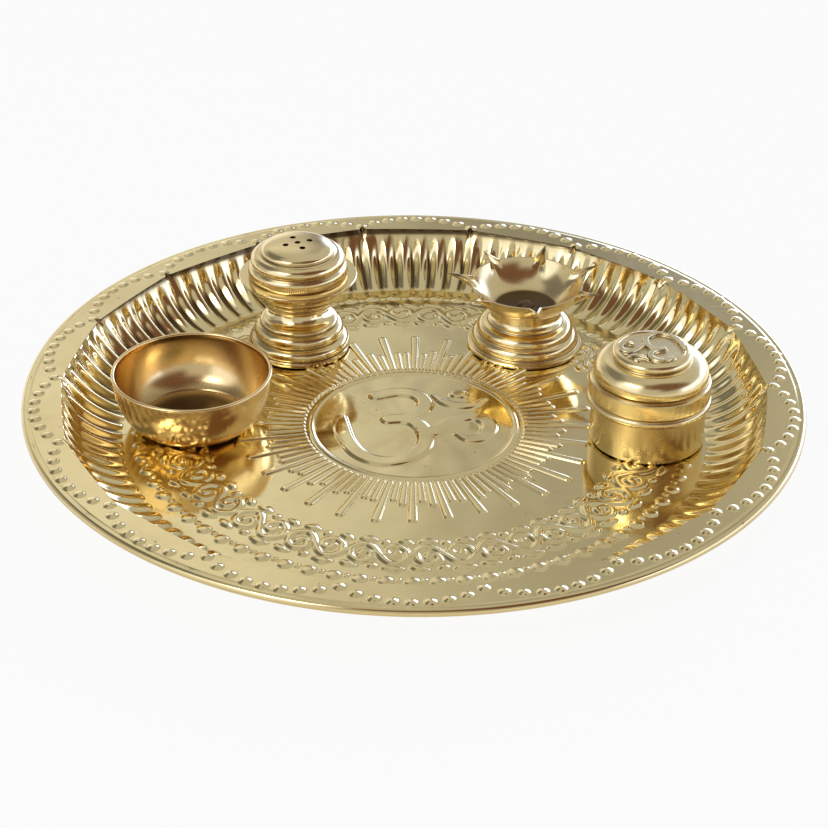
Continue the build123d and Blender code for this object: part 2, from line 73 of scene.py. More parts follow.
def spun_mesh(name, grid, looped, dirt_and_shade, crease=75.0):
    """Mesh of grid[turn, station], points in millimetres that go once round an upright axis.

    Stations run under the piece outwards and over it inwards, so faces point out. A looped grid
    joins its last station to its first; else the first and last stations are poles on the axis.
    The fourth argument gives each point a share of darkening that is kept on it: 0 is open metal, 1
    the darkest, as at the bottom of a groove; it holds painted shade, soot and other darkening.
    Corners sharper than crease, in degrees, stay sharp.
    """
    turns, stations = grid.shape[:2]
    turn = np.arange(turns)[:, None]
    after = (turn + 1) % turns
    if looped:
        station = np.arange(stations)[None]
        beyond = (station + 1) % stations
        points = grid.reshape(-1, 3)
        shade = dirt_and_shade.reshape(-1)
        width = stations
        caps = []
    else:
        station = np.arange(stations - 3)[None]
        beyond = station + 1
        points = np.concatenate([grid[:, 1:-1].reshape(-1, 3), grid[0, :1], grid[0, -1:]])
        shade = np.concatenate([dirt_and_shade[:, 1:-1].reshape(-1), dirt_and_shade[0, :1], dirt_and_shade[0, -1:]])
        width = stations - 2
        first = turns * width
        start = turn[:, 0] * width
        start_after = after[:, 0] * width
        end = start + width - 1
        end_after = start_after + width - 1
        under = np.stack([np.full(turns, first), start_after, start], 1)
        over = np.stack([np.full(turns, first + 1), end, end_after], 1)
        caps = np.concatenate([under, over]).tolist()
    sides = np.stack(
        [
            turn * width + station,
            after * width + station,
            after * width + beyond,
            turn * width + beyond,
        ],
        axis=-1,
    )
    mesh = bpy.data.meshes.new(name)
    mesh.from_pydata((points / METRE).tolist(), [], sides.reshape(-1, 4).tolist() + caps)
    kept = mesh.attributes.new("dirt_and_shade", "FLOAT", "POINT")
    kept.data.foreach_set("value", shade.astype(np.float32))
    mesh.shade_smooth()
    mesh.set_sharp_from_angle(angle=radians(crease))
    piece = bpy.data.objects.new(name, mesh)
    bpy.context.scene.collection.objects.link(piece)
    return piece


def polar(radius, angle, height, centre=(0.0, 0.0)):
    """Points at these radii and angles about an upright axis through centre, at these heights."""
    radius, angle, height = np.broadcast_arrays(radius, angle, height)
    x = centre[0] + radius * np.cos(angle)
    y = centre[1] + radius * np.sin(angle)
    return np.stack([x, y, height], -1)


def turn_angles(turns):
    """Angles of an even division of the circle, as a column."""
    return np.arange(turns)[:, None] * (2 * pi / turns)


def soft_step(value, low, high):
    """0 below low, 1 above high and a smooth S between them."""
    share = np.clip((value - low) / (high - low), 0.0, 1.0)
    return share * share * (3 - 2 * share)


def flowing(points, per_span=14):
    """A smooth curve through the points: each span is a cubic whose end slopes are half the
    step between the neighbours on either side."""
    knots = np.array(points, float)
    ahead, past = 2 * knots[:1] - knots[1:2], 2 * knots[-1:] - knots[-2:-1]
    padded = np.concatenate([ahead, knots, past])[:, None]
    share = (np.arange(per_span) / per_span)[None, :, None]
    before, a, b, beyond = padded[:-3], padded[1:-2], padded[2:-1], padded[3:]
    curve = a + 0.5 * share * (
        (b - before)
        + share * (2 * before - 5 * a + 4 * b - beyond + share * (3 * (a - b) + beyond - before))
    )
    return np.concatenate([curve.reshape(-1, knots.shape[1]), knots[-1:]])


def stroked(strokes, x, y, bevel):
    """Height share of raised strokes: 1 on their flat tops, 0 off them, a smooth bevel between.
    A stroke is a row of (x, y, half width); a point is as far in as it lies under the nearest."""
    inside = np.full(np.broadcast_shapes(x.shape, y.shape), -1e3)
    for stroke in strokes:
        for knot_x, knot_y, half in flowing(stroke):
            inside = np.maximum(inside, half - np.hypot(x - knot_x, y - knot_y))
    return soft_step(inside, -0.5 * bevel, 0.5 * bevel)


w = STROKE_HALF_WIDTH
emblem_strokes = [
    [(-15.2, 21.6, w), (-6.5, 24.6, w), (0.8, 22.6, w), (4.4, 16.4, w), (2.6, 9.2, w),
     (-2.6, 4.6, w), (-10, 3.0, w)],
    [(-4, 3.6, w), (1.0, 0.4, w), (4.6, -8, w), (4.0, -17, w), (-0.4, -24, w), (-7.4, -28, w),
     (-15, -27.6, w), (-21.8, -22.2, w), (-26.2, -13, w), (-28.4, -4, w), (-28.8, 4.4, 0.55 * w)],
    [(4.0, -6.4, w), (8.2, -5.6, w), (12.4, -1.4, w), (17, 3.8, w), (22.8, 6.4, w), (28.2, 3.6, w),
     (30, -3, w), (27, -9.6, 0.9 * w), (21.6, -11, 0.7 * w), (17.4, -7.6, 0.4 * w)],
    [(7.0, 22.6, 0.5), (12.2, 16.8, 1.9), (18.2, 14.4, 2.3), (24.0, 15.6, 1.9), (29.0, 20.4, 0.5)],
    [(17.6, 23.4, 2.9), (18.6, 23.4, 2.9)],
]


def sheet_sway(radius, angle):
    """The slight unevenness of pressed sheet: a few broad waves round and across the plate."""
    return (
        0.05 * np.sin(5 * angle + radius / 19)
        + 0.035 * np.sin(9 * angle - radius / 11 + 1.3)
        + 0.03 * np.cos(3 * angle + radius / 7)
        + 0.02 * np.sin(17 * angle + radius / 5)
    ) * soft_step(radius, 4.0, 40.0)


def medallion_top(radius, angle):
    """Heights of the medallion's upper side, and the height share of the emblem on it."""
    raised = stroked(emblem_strokes, radius * np.cos(angle), radius * np.sin(angle), EMBLEM_BEVEL)
    border = np.exp(-(((radius - BORDER_RING) / BORDER_HALF_WIDTH) ** 2))
    lift = EMBLEM_HEIGHT * raised + BORDER_HEIGHT * border + sheet_sway(radius, angle)
    return FLOOR_TOP + lift, raised


def sheet_under(top):
    """Heights of the sheet's underside: its thickness below the top, and never below the table."""
    return np.maximum(top - SHEET, 0.0)


def sheet_round(under, over):
    """Stations of a sheet: those of its underside outwards, then those of its top back inwards."""
    return np.concatenate([under, over[:, ::-1]], axis=1)


def edge_shade(raised):
    """Painted shade along the bevels of raised metal: most half way up the bevel, none on top or
    beside.
    """
    return EDGE_SHADE * raised * (1 - raised)


angle = turn_angles(MEDALLION_TURNS)
over_rings = np.linspace(0, MEDALLION_EDGE, 104)[None]
under_rings = np.linspace(0, MEDALLION_EDGE, 30)[None]
over_height, over_raised = medallion_top(over_rings, angle)
under_height, under_raised = medallion_top(under_rings, angle)
under = polar(under_rings, angle, sheet_under(under_height))
over = polar(over_rings, angle, over_height)
shade = sheet_round(edge_shade(under_raised), edge_shade(over_raised))
thali_medallion = spun_mesh("thali_medallion", sheet_round(under, over), False, shade)


class Wire:
    """A socket of a shader tree. Arithmetic on it adds Math nodes; node() adds any other node."""

    def __init__(self, tree, socket=None):
        self.tree = tree
        self.socket = socket

    def node(self, kind, inputs=None, output=0, **settings):
        """Adds a node: its settings first, then the values or wires of its sockets."""
        made = self.tree.nodes.new("ShaderNode" + kind)
        for setting, value in settings.items():
            setattr(made, setting, value)
        for socket, value in (inputs or {}).items():
            if isinstance(value, Wire):
                self.tree.links.new(value.socket, made.inputs[socket])
            else:
                made.inputs[socket].default_value = value
        return Wire(self.tree, made.outputs[output] if len(made.outputs) else None)

    def beside(self, output):
        """Another output of the node that this wire comes from."""
        return Wire(self.tree, self.socket.node.outputs[output])

    def maths(self, operation, first, second=0.0):
        """A Math node of one or two values."""
        return self.node("Math", {0: first, 1: second}, operation=operation)

    def ramp(self, low, high):
        """This value carried smoothly from low..high to 0..1 and held at both ends."""
        inputs = {"Value": self, "From Min": low, "From Max": high}
        return self.node("MapRange", inputs, interpolation_type="SMOOTHSTEP")

    def mixed(self, first, second):
        """The colour that is first where this value is 0 and second where it is 1."""
        return self.node("Mix", {0: self, 6: first, 7: second}, output=2, data_type="RGBA")

    def __add__(self, other):
        return self.maths("ADD", self, other)

    def __sub__(self, other):
        return self.maths("SUBTRACT", self, other)

    def __mul__(self, other):
        return self.maths("MULTIPLY", self, other)

    def __rsub__(self, other):
        return self.maths("SUBTRACT", other, self)

    __radd__ = __add__
    __rmul__ = __mul__


PALE_BRASS = (0.88, 0.735, 0.385, 1)
TARNISH_AND_SHADE = (0.56, 0.36, 0.12, 1)
PATINA = (0.16, 0.085, 0.03, 1)
DARK_DIRT_AND_SHADE = (0.05, 0.026, 0.01, 1)
CLOUD_TARNISH = 0.2
DIRT_AND_SHADE_TARNISH = 0.5
STAIN_PATINA = 0.7
DIRT_AND_SHADE_DARKENING = 0.9
GRAIN_DEPTH = 0.0015
SCRATCH_DEPTH = 0.002
PIT_DEPTH = 0.02


def brass(name, clean, polish, sway, pits=0.0, axis=None, lathe=0.0, rubbed=0.0):
    """Buffed brass: clean metal with clouds of tarnish and fine scratches, darkened and browned
    where its points carry painted shade, soot and other darkening.

    polish is the roughness of the clean metal, sway the depth in millimetres of its unevenness
    and pits the strength of pin-prick stains. A turned piece gives the place of its axis, with
    lathe, the depth of rings round that axis, and rubbed, the depth of streaks along its wall.
    The scales of the noises are counts per metre.
    """
    material = bpy.data.materials.new(name)
    material.use_nodes = True
    material.node_tree.nodes.clear()
    start = Wire(material.node_tree)
    spot = start.node("TexCoord", output="Object")
    # Each point's share of painted shade, soot and other darkening, read from the mesh.
    dirt_and_shade_share = start.node("Attribute", output="Fac", attribute_name="dirt_and_shade")
    clouds = {"Vector": spot, "Scale": 30.0, "Detail": 5.0, "Roughness": 0.62}
    cloud = start.node("TexNoise", clouds)
    grain = start.node("TexNoise", {"Vector": spot, "Scale": 950.0, "Detail": 2.0})
    waves = start.node("TexNoise", {"Vector": spot, "Scale": 85.0, "Detail": 1.5})
    across = start.node("Mapping", {"Vector": spot, "Rotation": (0, 0, 0.6), "Scale": (1, 40, 1)})
    hairs = start.node("TexNoise", {"Vector": across, "Scale": 55.0, "Detail": 3.0})
    scratch = hairs.ramp(0.62, 0.72)
    cells = start.node("TexVoronoi", {"Vector": spot, "Scale": 210.0})
    stain_and_shade = cells.ramp(0.16, 0.05) * cloud.ramp(0.50, 0.62) * pits
    dull = cloud.ramp(0.38, 0.72)
    # The clouds of tarnish are real; the point shares add painted shade in the same brown and,
    # where deep, near black.
    colour = (CLOUD_TARNISH * dull + DIRT_AND_SHADE_TARNISH * dirt_and_shade_share).mixed(clean, TARNISH_AND_SHADE)
    colour = (STAIN_PATINA * stain_and_shade).mixed(colour, PATINA)
    colour = (DIRT_AND_SHADE_DARKENING * dirt_and_shade_share.ramp(0.45, 0.95)).mixed(colour, DARK_DIRT_AND_SHADE)
    roughness = polish + 0.08 * dull + 0.04 * (grain - 0.5) + 0.04 * scratch
    roughness = roughness + 0.15 * dirt_and_shade_share + 0.15 * stain_and_shade
    height = (sway / METRE) * waves + (GRAIN_DEPTH / METRE) * grain
    height = height - (SCRATCH_DEPTH / METRE) * scratch - (PIT_DEPTH / METRE) * stain_and_shade
    if axis is not None:
        to_axis = (-axis[0] / METRE, -axis[1] / METRE, 0)
        centred = start.node("Mapping", {"Vector": spot, "Location": to_axis})
        upright = start.node("SeparateXYZ", {0: centred}, output="Z")
        flat = start.node("VectorMath", {0: centred, 1: (1, 1, 0)}, operation="MULTIPLY")
        reach = start.node("VectorMath", {0: flat}, output="Value", operation="LENGTH")
        heading = start.node("VectorMath", {0: flat}, operation="NORMALIZE")
        rings = {"W": reach + 0.7 * upright, "Scale": 2600.0}
        lines = start.node("TexNoise", rings, noise_dimensions="1D")
        lifted = start.node("CombineXYZ", {2: 9.0 * (reach + upright)})
        along = start.node("VectorMath", {0: heading, 1: lifted}, operation="ADD")
        streaks = {"Vector": along, "Scale": 26.0, "Detail": 4.0, "Roughness": 0.7}
        streak = start.node("TexNoise", streaks)
        height = height + (lathe / METRE) * lines + (rubbed / METRE) * streak
        roughness = roughness + 0.04 * (lines - 0.5) + 0.16 * (streak - 0.5)
    normal = start.node("Bump", {"Height": height, "Strength": 1.0, "Distance": 1.0})
    shader = start.node(
        "BsdfPrincipled",
        {"Base Color": colour, "Metallic": 1.0, "Roughness": roughness, "Normal": normal},
    )
    start.node("OutputMaterial", {"Surface": shader})
    return material


pressed_brass = brass("pressed_brass", PALE_BRASS, polish=0.07, sway=0.02, pits=1.0)
thali_medallion.data.materials.append(pressed_brass)
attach(thali_medallion, "thali")
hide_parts("thali_plate")

# Burst of rays round the medallion, pressed in the same sheet: flat-topped bars with steep
# edges and round ends, every third one long. The mesh has its stations where the edges are.

RAYS = 96
RAYS_EDGE = 73.0
RAY_START = 43.2
LONG_RAY = 70.5
SHORT_RAY = 58.5
RAY_STRAY = 1.6
RAY_HALF_ANGLE = 1.32
RAY_EDGE_ANGLE = 0.45
RAY_END_ROUND = 2.0
RAY_HEIGHT = 0.65
OFF_RAY = np.array(
    [-1.76, -1.56, -1.44, -1.32, -1.2, -1.08, -0.4, 0.4, 1.08, 1.2, 1.32, 1.44, 1.56, 1.76]
)


def off_nearest(angle, count, start=0.0):
    """Signed angle from the nearest of count evenly spaced directions, and that one's number."""
    pitch = 2 * pi / count
    number = np.round((angle - start) / pitch)
    return angle - start - number * pitch, number


def rays(radius, angle):
    """Height share of bars that widen outwards, with steep edges and rounded ends that stray a
    little. A point is as far in as it lies from the nearest edge, in units of an edge's width."""
    aside, number = off_nearest(angle, RAYS)
    end = np.where(number % 3 == 0, LONG_RAY, SHORT_RAY) + RAY_STRAY * np.sin(2.4 * number)
    unit = np.radians(RAY_EDGE_ANGLE) * radius
    inside = RAY_HALF_ANGLE / RAY_EDGE_ANGLE - np.abs(radius * aside) / unit
    ends = np.minimum(end - radius, radius - RAY_START) / unit
    short = RAY_END_ROUND - np.minimum(ends, RAY_END_ROUND)
    narrow = np.clip(RAY_END_ROUND + 0.1 - inside, 0, None)
    round_end = np.where(short > 0, RAY_END_ROUND - np.hypot(short, narrow), inside)
    return soft_step(np.minimum(inside, round_end), -0.5, 0.5)


angle = np.radians((np.arange(RAYS)[:, None] * (360 / RAYS) + OFF_RAY[None]).reshape(-1, 1))
over_rings = np.concatenate(
    [
        np.linspace(MEDALLION_EDGE, 45.6, 9),
        np.linspace(48, 55, 3),
        np.linspace(56, 61, 12),
        np.linspace(63.5, 67.5, 3),
        np.linspace(68.2, RAYS_EDGE, 12),
    ]
)[None]
under_rings = np.linspace(MEDALLION_EDGE, RAYS_EDGE, 14)[None]


def rays_top(radius, angle):
    """Heights of the upper side of the ring of rays."""
    return FLOOR_TOP + RAY_HEIGHT * rays(radius, angle) + sheet_sway(radius, angle)


under = polar(under_rings, angle, sheet_under(rays_top(under_rings, angle)))
over = polar(over_rings, angle, rays_top(over_rings, angle))
shade = sheet_round(np.zeros(under.shape[:2]), edge_shade(rays(over_rings, angle)))
thali_rays = spun_mesh("thali_rays", sheet_round(under, over), True, shade)
thali_rays.data.materials.append(pressed_brass)
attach(thali_rays, "thali")
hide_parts("thali_plate")

# Floor of the plate out to the wall, the same sheet: a creeper border of a waving stem with
# leaves and dots, and a ring of low pearls along the foot of the wall.

PLATE_RADIUS = extent("thali_plate")[1][0]
RIM_WIDTH = 15.0
WALL_WIDTH = 23.0
FLOOR_EDGE = PLATE_RADIUS - RIM_WIDTH - WALL_WIDTH
FLOOR_TURNS = 1152
CREEPERS = 24
CREEPER_RING = 92.0
CREEPER_HEIGHT = 0.65
CREEPER_BEVEL = 0.9
PEARLS = 72
PEARL_RING = 108.2
PEARL_RADIUS = 2.6
PEARL_HEIGHT = 0.5
PEARLS_END = 111.0
SMALL_PEARL_RING = 107.4
SMALL_PEARL_RADIUS = 1.17
creeper_half = pi * CREEPER_RING / CREEPERS
half_sprig = [
    [(0, 0, 1.2), (3.0, -3.9, 1.2), (6.0, -5.5, 1.2), (9.0, -3.9, 1.2), (creeper_half, 0, 1.2)],
    [(1.5, -1.5, 1.0), (2.4, 3.0, 1.1), (6.0, 5.4, 1.3), (9.5, 3.4, 1.3), (9.0, 0.2, 1.2),
     (6.4, -0.8, 1.2), (5.4, 1.4, 1.4)],
    [(3.4, -8.4, 0.5), (6.0, -8.8, 1.5), (9.2, -8.6, 0.6)],
    [(0.2, 7.4, 0.5), (2.2, 8.2, 1.4), (5.0, 8.8, 0.5)],
    [(10.6, 7.6, 1.3), (10.8, 7.6, 1.3)],
]
creeper_strokes = half_sprig + [[(-x, -y, half) for x, y, half in stroke] for stroke in half_sprig]


def dome(distance, radius):
    """Height share of a round dome: the upper half of a circle squashed to height 1."""
    return np.sqrt(np.clip(1 - (distance / radius) ** 2, 0, None))


def pearls(radius, angle):
    """Low flat-topped pearls in a ring, with a small one between each two."""
    aside, _ = off_nearest(angle, PEARLS)
    between, _ = off_nearest(angle, PEARLS, pi / PEARLS)
    off_large = np.hypot(radius * np.cos(aside) - PEARL_RING, radius * np.sin(aside))
    off_small = np.hypot(radius * np.cos(between) - SMALL_PEARL_RING, radius * np.sin(between))
    return dome(off_large, PEARL_RADIUS) ** 0.7 + 0.7 * dome(off_small, SMALL_PEARL_RADIUS)


def creeper(radius, angle):
    """One length of the border, measured along its ring and outwards from it, again and again."""
    aside, _ = off_nearest(angle, CREEPERS)
    along, out = CREEPER_RING * aside, radius - CREEPER_RING
    shifts = (-2 * creeper_half, 0, 2 * creeper_half)
    here = [stroked(creeper_strokes, along + shift, out, CREEPER_BEVEL) for shift in shifts]
    return np.max(here, axis=0)


over_rings = np.concatenate(
    [
        np.linspace(RAYS_EDGE, 80.5, 3),
        np.linspace(81.4, 102.6, 44),
        np.linspace(103.8, 105.0, 2),
        np.linspace(105.4, PEARLS_END, 13),
        np.linspace(111.8, FLOOR_EDGE, 3),
    ]
)[None]
under_rings = np.linspace(RAYS_EDGE, FLOOR_EDGE, 18)[None]
angle = turn_angles(FLOOR_TURNS)


def floor_top(radius, angle):
    """Heights of the floor's upper side, and the share of them that is the creeper."""
    band = creeper(radius, angle)
    calm = 1 - soft_step(radius, PEARLS_END, FLOOR_EDGE)
    lift = CREEPER_HEIGHT * band + PEARL_HEIGHT * pearls(radius, angle)
    return FLOOR_TOP + lift + calm * sheet_sway(radius, angle), band


over_height, over_band = floor_top(over_rings, angle)
under_height, _ = floor_top(under_rings, angle)
under = polar(under_rings, angle, sheet_under(under_height))
over = polar(over_rings, angle, over_height)
shade = sheet_round(np.zeros(under.shape[:2]), edge_shade(over_band))
thali_floor = spun_mesh("thali_floor", sheet_round(under, over), True, shade)
thali_floor.data.materials.append(pressed_brass)
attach(thali_floor, "thali")
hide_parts("thali_plate")

# Wall of the plate: the sheet is drawn up in a cove and pressed into rounded fingers that
# stand side by side. Its upper edge meets the rim in long shallow bows between small peaks.

BEAD_HEIGHT = 1.1
RIM_TOP = extent("thali_plate")[1][2] - BEAD_HEIGHT
WALL_TURNS = 1728
FINGERS = 108
FINGER_HEADING = radians(89.0)
FINGER_END_ROUND = 1.8
FINGER_FOOT = 2.4
CREST_HALF_SWEEP = radians(24)
CREST_MEAN = 0.72
CREST_SWING = 0.28
TOP_BAND = (0.55, 0.9)
TOP_BAND_RISE = 0.55
# Heading where the die struck deepest and the valleys are darkened most, and how that darkening
# swings round the plate.
STRUCK_SIDE_HEADING = radians(125)
VALLEY_DARK_MEAN = 0.62
VALLEY_DARK_SWING = 0.38
# Painted shadow under the rim's overhang and a painted shade line along the wall's top edge.
UNDERCUT_HEADING = radians(108)
UNDERCUT_SHADOW = 0.9
WALL_EDGE_SHADOW = 0.55
LOBES = 18
LOBE_SAG = 1.5
LOBE_INSET = 0.4
PEAK_REACH = 2.2
PEAK_DRAW = 4.0
LOBE_DRAW_START = 22.0
PEAK_HALF_ANGLE = radians(0.7)
COVE_RISE = RIM_TOP - FLOOR_TOP
COVE_RADIUS = (WALL_WIDTH**2 + COVE_RISE**2) / (2 * COVE_RISE)
COVE_SWEEP = np.arctan2(WALL_WIDTH, COVE_RADIUS - COVE_RISE)
COVE_LENGTH = COVE_RADIUS * COVE_SWEEP


def lobe_bow(angle):
    """How far the rim's inner edge bows outside its base circle: most where two lobes meet."""
    aside, _ = off_nearest(angle, LOBES)
    return LOBE_SAG * (np.abs(aside) * LOBES / pi - 1) ** 2 - LOBE_INSET


def lobe_peak(angle):
    """The small pointed peak that the rim's inner edge has where two lobes meet."""
    aside, _ = off_nearest(angle, LOBES)
    return PEAK_REACH * np.clip(1 - np.abs(aside) / PEAK_HALF_ANGLE, 0, None) ** 1.5


def off_finger(along, angle):
    """How far a point is off the crest of its finger: 0 on it, 1 in the valley between two and
    at the round lower end."""
    aside, _ = off_nearest(angle, FINGERS, FINGER_HEADING)
    below = np.maximum(1 - along / FINGER_END_ROUND, 0)
    return np.minimum(np.hypot(aside * FINGERS / pi, below), 1)


def wall_points(along, angle, depth, height):
    """Points of the cove's arc, moved off it by depth, that rise by a share of height towards a
    flatter arc with the same ends: wholly on the fingers' crests, not at all in the valleys, with
    a cosine wave between, and more evenly in the band under the rim. The die has struck deeper
    towards one side, the same side where the valleys are darkened most."""
    swing = along / COVE_RADIUS
    share = along / COVE_LENGTH
    sloped = COVE_SWEEP / 2 + (2 * share - 1) * CREST_HALF_SWEEP
    first = COVE_SWEEP / 2 - CREST_HALF_SWEEP
    crest_radius = np.hypot(WALL_WIDTH, COVE_RISE) / (2 * np.sin(CREST_HALF_SWEEP))
    finger = 0.5 + 0.5 * np.cos(pi * off_finger(along, angle))
    crest = finger * (CREST_MEAN + CREST_SWING * np.cos(angle - STRUCK_SIDE_HEADING))
    risen = height * (crest + (1 - crest) * TOP_BAND_RISE * soft_step(share, *TOP_BAND))
    out = crest_radius * (np.sin(sloped) - np.sin(first)) - COVE_RADIUS * np.sin(swing)
    up = crest_radius * (np.cos(first) - np.cos(sloped)) - COVE_RADIUS * (1 - np.cos(swing))
    drawn = lobe_bow(angle) * soft_step(along, LOBE_DRAW_START, COVE_LENGTH)
    drawn = drawn + lobe_peak(angle) * soft_step(along, COVE_LENGTH - PEAK_DRAW, COVE_LENGTH)
    radius = FLOOR_EDGE + (COVE_RADIUS - depth) * np.sin(swing) + out * risen + drawn
    low = FLOOR_TOP + COVE_RADIUS - (COVE_RADIUS - depth) * np.cos(swing)
    return polar(radius, angle, low + up * risen)


angle = turn_angles(WALL_TURNS) + FINGER_HEADING
foot_along = np.linspace(0, FINGER_FOOT, 7)[:-1]
over_along = np.concatenate([foot_along, np.linspace(FINGER_FOOT, COVE_LENGTH, 29)])[None]
under_along = np.linspace(0, COVE_LENGTH, 14)[None]
under = wall_points(under_along, angle, -SHEET, 0.5)
over = wall_points(over_along, angle, 0.0, 1.0)

# The valleys are darkened low down, more on one side; painted shadow lies under the rim's overhang
# and a painted shade line along the wall's top edge.
upper_half = soft_step(over_along, 0.45 * COVE_LENGTH, 0.85 * COVE_LENGTH)
between = soft_step(over_along, 0.8, 3.0) * (1 - upper_half)
valley_darkness = VALLEY_DARK_MEAN + VALLEY_DARK_SWING * np.cos(angle - STRUCK_SIDE_HEADING)
valley = soft_step(off_finger(over_along, angle), 0.5, 0.9) * between * valley_darkness
undercut = UNDERCUT_SHADOW * np.clip(1.6 * np.cos(angle - UNDERCUT_HEADING) - 0.6, 0, 1)
under_edge = undercut * soft_step(over_along, COVE_LENGTH - 4.5, COVE_LENGTH - 2.0)
edge_line = WALL_EDGE_SHADOW * soft_step(over_along, COVE_LENGTH - 1.6, COVE_LENGTH - 0.4)
shade = sheet_round(np.zeros(under.shape[:2]), np.clip(valley + under_edge + edge_line, 0, 1))
thali_wall = spun_mesh("thali_wall", sheet_round(under, over), True, shade)
thali_wall.data.materials.append(pressed_brass)
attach(thali_wall, "thali")
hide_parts("thali_plate")

# Rim of the plate: a flat margin of the same sheet, embossed with a wandering row of beads
# that follows the lobes, and turned down over a wire-thin lip at its outer edge.

BEADS_PER_LOBE = 8
BEAD_RADIUS = 1.9
BEAD_LIFT = 0.95
BEAD_LIFT_UNDER = 0.7
BEAD_HEADING = radians(-35)
BEAD_INSET = 4.7
BEAD_SWING = 6.6
BEAD_CURVE = 0.8
LIP_ROUND = 1.6
LIP_DROP = 2.6
LIP_SHADE = 0.6
LIP_GROOVE_INSET = 2.6
LIP_GROOVE_HALF_WIDTH = 0.4
LIP_GROOVE_DEPTH = 0.3
RIM_INNER = PLATE_RADIUS - RIM_WIDTH


def beads(radius, angle):
    """Round beads, as many in each lobe, on a line that swings out in the middle of the lobe.
    The die has struck deeper on one side, so they are higher and crisper towards BEAD_HEADING."""
    count = LOBES * BEADS_PER_LOBE
    aside, number = off_nearest(angle, count)
    along_lobe = (number % BEADS_PER_LOBE) / BEADS_PER_LOBE
    ring = PLATE_RADIUS - BEAD_INSET - BEAD_SWING * (1 - np.sin(pi * along_lobe) ** BEAD_CURVE)
    struck = 0.5 + 0.5 * np.cos(angle - BEAD_HEADING)
    away = np.hypot(radius * np.cos(aside) - ring, radius * np.sin(aside))
    bead = dome(away, BEAD_RADIUS * (1.25 - 0.25 * struck))
    return (0.45 + 0.55 * struck) * bead ** (2.0 - 0.8 * struck)


def rim_radius(share, angle):
    """Radius between the lobed inner edge, at share 0, and the start of the lip, at share 1."""
    inner = RIM_INNER + lobe_bow(angle) + lobe_peak(angle)
    return inner + share * (PLATE_RADIUS - LIP_ROUND - inner)


share = np.concatenate([[0, 0.05], np.linspace(0.12, 0.9, 26), [0.95, 1.0]])[None]
flat_radius = rim_radius(share, angle)
off_groove = flat_radius - (PLATE_RADIUS - LIP_GROOVE_INSET)
groove = LIP_GROOVE_DEPTH * np.exp(-((off_groove / LIP_GROOVE_HALF_WIDTH) ** 2))
flat = polar(flat_radius, angle, RIM_TOP + BEAD_LIFT * beads(flat_radius, angle) - groove)
bend = np.linspace(0, pi / 2, 6)[None, 1:]
bend_radius = PLATE_RADIUS - LIP_ROUND * (1 - np.sin(bend))
lip = polar(bend_radius, angle, RIM_TOP - LIP_ROUND * (1 - np.cos(bend)))
edge_radius = PLATE_RADIUS - np.array([[0, 0.3, SHEET]])
edge_height = RIM_TOP - LIP_DROP + np.array([[0.3, 0, 0]])
back_radius = rim_radius(np.linspace(1, 0, 8)[None], angle)
back = polar(back_radius, angle, RIM_TOP - SHEET + BEAD_LIFT_UNDER * beads(back_radius, angle))
grid = np.concatenate([flat, lip, polar(edge_radius, angle, edge_height), back], axis=1)[:, ::-1]
# Painted shade on the turned-down lip, rising towards its outer edge.
lip_shade = np.zeros(grid.shape[1])
lip_shade[share.size : share.size + bend.size] = np.linspace(0.2, LIP_SHADE, bend.size)
lip_shade[share.size + bend.size : -back_radius.shape[1]] = LIP_SHADE
thali_rim = spun_mesh("thali_rim", grid, True, np.broadcast_to(lip_shade[::-1], grid.shape[:2]))
thali_rim.data.materials.append(pressed_brass)
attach(thali_rim, "thali")
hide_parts("thali_plate")

# Katori: a small bowl spun from sheet over a former, with a flat floor, a scribed ring and a
# lip that is rolled a little thicker than the wall. Its floor and the low inside of its wall
# are painted with brown shade, and it stands loose on the plate.

VESSEL_TURNS = 288
VESSEL_BRASS = (0.89, 0.72, 0.38, 1)
KATORI_BRASS = (0.90, 0.67, 0.33, 1)
KATORI_BASE = 18.5
KATORI_WALL = 0.9
KATORI_LIP = 0.75
KATORI_LIP_OUT = 0.3
KATORI_LIP_UP = 0.6
KATORI_RING = 21.5
KATORI_RING_HALF_WIDTH = 0.35
KATORI_RING_DEPTH = 0.35
# The katori's floor points are darkened, and its low inner wall is browned, as painted shade.
KATORI_SHADED_FLOOR = [(0, KATORI_WALL), (9, KATORI_WALL), (17, KATORI_WALL)]
KATORI_SHADE = 0.66
KATORI_SHADE_HEIGHTS = (2.0, 9.0)
POINT_DARKENING = 0.9
GROOVE_REACH = 0.5


def arc(start, end, bulge, steps=10):
    """Points of a round arc from start to end that stands off the straight line by bulge, to the
    right of the way it runs, in r and z. The start point is left out."""
    start, end = np.array(start, float), np.array(end, float)
    chord = end - start
    half = np.hypot(*chord) / 2
    share = np.arange(1, steps + 1)[:, None] / steps
    curve = (half**2 + bulge**2) / (2 * abs(bulge))
    turn = 2 * np.arctan2(abs(bulge), half) * (2 * share - 1)
    aside = np.array([chord[1], -chord[0]]) / (2 * half) * np.sign(bulge)
    forward = chord / (2 * half)
    off = curve * np.cos(turn) - curve + abs(bulge)
    return (start + end) / 2 + forward * curve * np.sin(turn) + aside * off


def section(start, *moves):
    """An outline in r and z: from start, each move is (r, z) for a straight line or (r, z, bulge)
    for an arc that bows to the right of its way, so outwards on a wall that runs up."""
    points = [np.array([start], float)]
    for r, z, *bulge in moves:
        here = points[-1][-1]
        points.append(arc(here, (r, z), bulge[0]) if bulge else np.array([[r, z]], float))
    return np.concatenate(points)


def darkening_near(outline, grooves):
    """Darkening on each point of an outline: most at a listed point, such as a groove's bottom,
    falling off within a millimetre of it."""
    apart = np.hypot(*(outline[:, None] - np.array(grooves)[None]).transpose(2, 0, 1))
    return POINT_DARKENING * np.exp(-((apart / GROOVE_REACH) ** 2)).max(axis=1)


